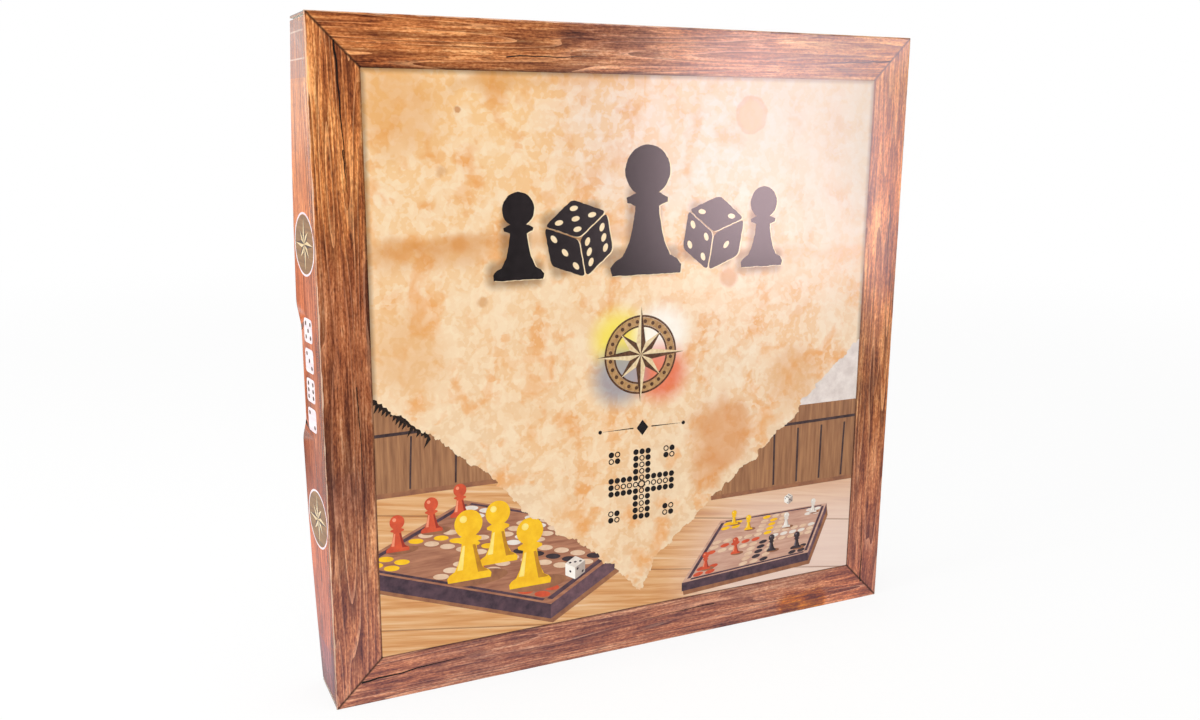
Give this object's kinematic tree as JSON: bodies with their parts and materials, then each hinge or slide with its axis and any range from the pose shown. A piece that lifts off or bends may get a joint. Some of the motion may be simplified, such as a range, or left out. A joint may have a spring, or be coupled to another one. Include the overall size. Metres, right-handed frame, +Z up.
{
  "type": "boxed board game",
  "caption": "Boxed ludo game standing on edge: a bowed, printed card lid over a card base that holds a wooden board, flat wooden pawns, a die, an insert and a leaflet.",
  "frame": {"origin": "under the middle of the lid's bottom wall, on the surface that the box stands on", "axes": "+Z up with the box stood on its bottom wall, -Y out of the printed front, +X to the right seen from the front"},
  "size_m": [0.4092, 0.04, 0.4024],
  "materials": {
    "printed_card": "gloss laminated print",
    "white_card": "matt",
    "corrugated_card": "matt",
    "board_wood": "satin lacquer",
    "leaflet_paper": "matt",
    "die_wood": "satin lacquer",
    "yellow_pawn": "satin paint",
    "red_pawn": "satin paint",
    "white_pawn": "satin paint",
    "black_pawn": "satin paint"
  },
  "bodies": {
    "base": {"base": "white_card"},
    "lid": {"lid": "printed_card"},
    "leaflet": {"leaflet": "leaflet_paper"},
    "board": {"board": "board_wood"},
    "insert": {"insert": "corrugated_card"},
    "die": {"die": "die_wood"},
    "pawn_yellow_1": {"pawn_yellow_1": "yellow_pawn"},
    "pawn_yellow_2": {"pawn_yellow_2": "yellow_pawn"},
    "pawn_yellow_3": {"pawn_yellow_3": "yellow_pawn"},
    "pawn_yellow_4": {"pawn_yellow_4": "yellow_pawn"},
    "pawn_red_1": {"pawn_red_1": "red_pawn"},
    "pawn_red_2": {"pawn_red_2": "red_pawn"},
    "pawn_red_3": {"pawn_red_3": "red_pawn"},
    "pawn_red_4": {"pawn_red_4": "red_pawn"},
    "pawn_white_1": {"pawn_white_1": "white_pawn"},
    "pawn_white_2": {"pawn_white_2": "white_pawn"},
    "pawn_white_3": {"pawn_white_3": "white_pawn"},
    "pawn_white_4": {"pawn_white_4": "white_pawn"},
    "pawn_black_1": {"pawn_black_1": "black_pawn"},
    "pawn_black_2": {"pawn_black_2": "black_pawn"},
    "pawn_black_3": {"pawn_black_3": "black_pawn"},
    "pawn_black_4": {"pawn_black_4": "black_pawn"}
  },
  "joints": [
    {"name": "lid_lift", "type": "slide", "parent": "base", "child": "lid", "axis": [0, -1, 0], "range_m": [0, 0.3]},
    {"name": "leaflet_lift", "type": "slide", "parent": "base", "child": "leaflet", "axis": [0, -1, 0], "range_m": [0, 0.24]},
    {"name": "board_lift", "type": "slide", "parent": "base", "child": "board", "axis": [0, -1, 0], "range_m": [0, 0.18]},
    {"name": "die_lift", "type": "slide", "parent": "base", "child": "die", "axis": [0, -1, 0], "range_m": [0, 0.12]},
    {"name": "insert_lift", "type": "slide", "parent": "base", "child": "insert", "axis": [0, -1, 0], "range_m": [0, 0.06]},
    {"name": "pawn_yellow_1_lift", "type": "slide", "parent": "base", "child": "pawn_yellow_1", "axis": [0, -1, 0], "range_m": [0, 0.12]},
    {"name": "pawn_yellow_2_lift", "type": "slide", "parent": "base", "child": "pawn_yellow_2", "axis": [0, -1, 0], "range_m": [0, 0.12]},
    {"name": "pawn_yellow_3_lift", "type": "slide", "parent": "base", "child": "pawn_yellow_3", "axis": [0, -1, 0], "range_m": [0, 0.12]},
    {"name": "pawn_yellow_4_lift", "type": "slide", "parent": "base", "child": "pawn_yellow_4", "axis": [0, -1, 0], "range_m": [0, 0.12]},
    {"name": "pawn_red_1_lift", "type": "slide", "parent": "base", "child": "pawn_red_1", "axis": [0, -1, 0], "range_m": [0, 0.12]},
    {"name": "pawn_red_2_lift", "type": "slide", "parent": "base", "child": "pawn_red_2", "axis": [0, -1, 0], "range_m": [0, 0.12]},
    {"name": "pawn_red_3_lift", "type": "slide", "parent": "base", "child": "pawn_red_3", "axis": [0, -1, 0], "range_m": [0, 0.12]},
    {"name": "pawn_red_4_lift", "type": "slide", "parent": "base", "child": "pawn_red_4", "axis": [0, -1, 0], "range_m": [0, 0.12]},
    {"name": "pawn_white_1_lift", "type": "slide", "parent": "base", "child": "pawn_white_1", "axis": [0, -1, 0], "range_m": [0, 0.12]},
    {"name": "pawn_white_2_lift", "type": "slide", "parent": "base", "child": "pawn_white_2", "axis": [0, -1, 0], "range_m": [0, 0.12]},
    {"name": "pawn_white_3_lift", "type": "slide", "parent": "base", "child": "pawn_white_3", "axis": [0, -1, 0], "range_m": [0, 0.12]},
    {"name": "pawn_white_4_lift", "type": "slide", "parent": "base", "child": "pawn_white_4", "axis": [0, -1, 0], "range_m": [0, 0.12]},
    {"name": "pawn_black_1_lift", "type": "slide", "parent": "base", "child": "pawn_black_1", "axis": [0, -1, 0], "range_m": [0, 0.12]},
    {"name": "pawn_black_2_lift", "type": "slide", "parent": "base", "child": "pawn_black_2", "axis": [0, -1, 0], "range_m": [0, 0.12]},
    {"name": "pawn_black_3_lift", "type": "slide", "parent": "base", "child": "pawn_black_3", "axis": [0, -1, 0], "range_m": [0, 0.12]},
    {"name": "pawn_black_4_lift", "type": "slide", "parent": "base", "child": "pawn_black_4", "axis": [0, -1, 0], "range_m": [0, 0.12]}
  ],
  "couplings": [
    {"joint": "leaflet_lift", "follows": "lid_lift", "ratio": 0.8},
    {"joint": "board_lift", "follows": "lid_lift", "ratio": 0.6},
    {"joint": "die_lift", "follows": "lid_lift", "ratio": 0.4},
    {"joint": "insert_lift", "follows": "lid_lift", "ratio": 0.2},
    {"joint": "pawn_yellow_1_lift", "follows": "lid_lift", "ratio": 0.4},
    {"joint": "pawn_yellow_2_lift", "follows": "lid_lift", "ratio": 0.4},
    {"joint": "pawn_yellow_3_lift", "follows": "lid_lift", "ratio": 0.4},
    {"joint": "pawn_yellow_4_lift", "follows": "lid_lift", "ratio": 0.4},
    {"joint": "pawn_red_1_lift", "follows": "lid_lift", "ratio": 0.4},
    {"joint": "pawn_red_2_lift", "follows": "lid_lift", "ratio": 0.4},
    {"joint": "pawn_red_3_lift", "follows": "lid_lift", "ratio": 0.4},
    {"joint": "pawn_red_4_lift", "follows": "lid_lift", "ratio": 0.4},
    {"joint": "pawn_white_1_lift", "follows": "lid_lift", "ratio": 0.4},
    {"joint": "pawn_white_2_lift", "follows": "lid_lift", "ratio": 0.4},
    {"joint": "pawn_white_3_lift", "follows": "lid_lift", "ratio": 0.4},
    {"joint": "pawn_white_4_lift", "follows": "lid_lift", "ratio": 0.4},
    {"joint": "pawn_black_1_lift", "follows": "lid_lift", "ratio": 0.4},
    {"joint": "pawn_black_2_lift", "follows": "lid_lift", "ratio": 0.4},
    {"joint": "pawn_black_3_lift", "follows": "lid_lift", "ratio": 0.4},
    {"joint": "pawn_black_4_lift", "follows": "lid_lift", "ratio": 0.4}
  ]
}
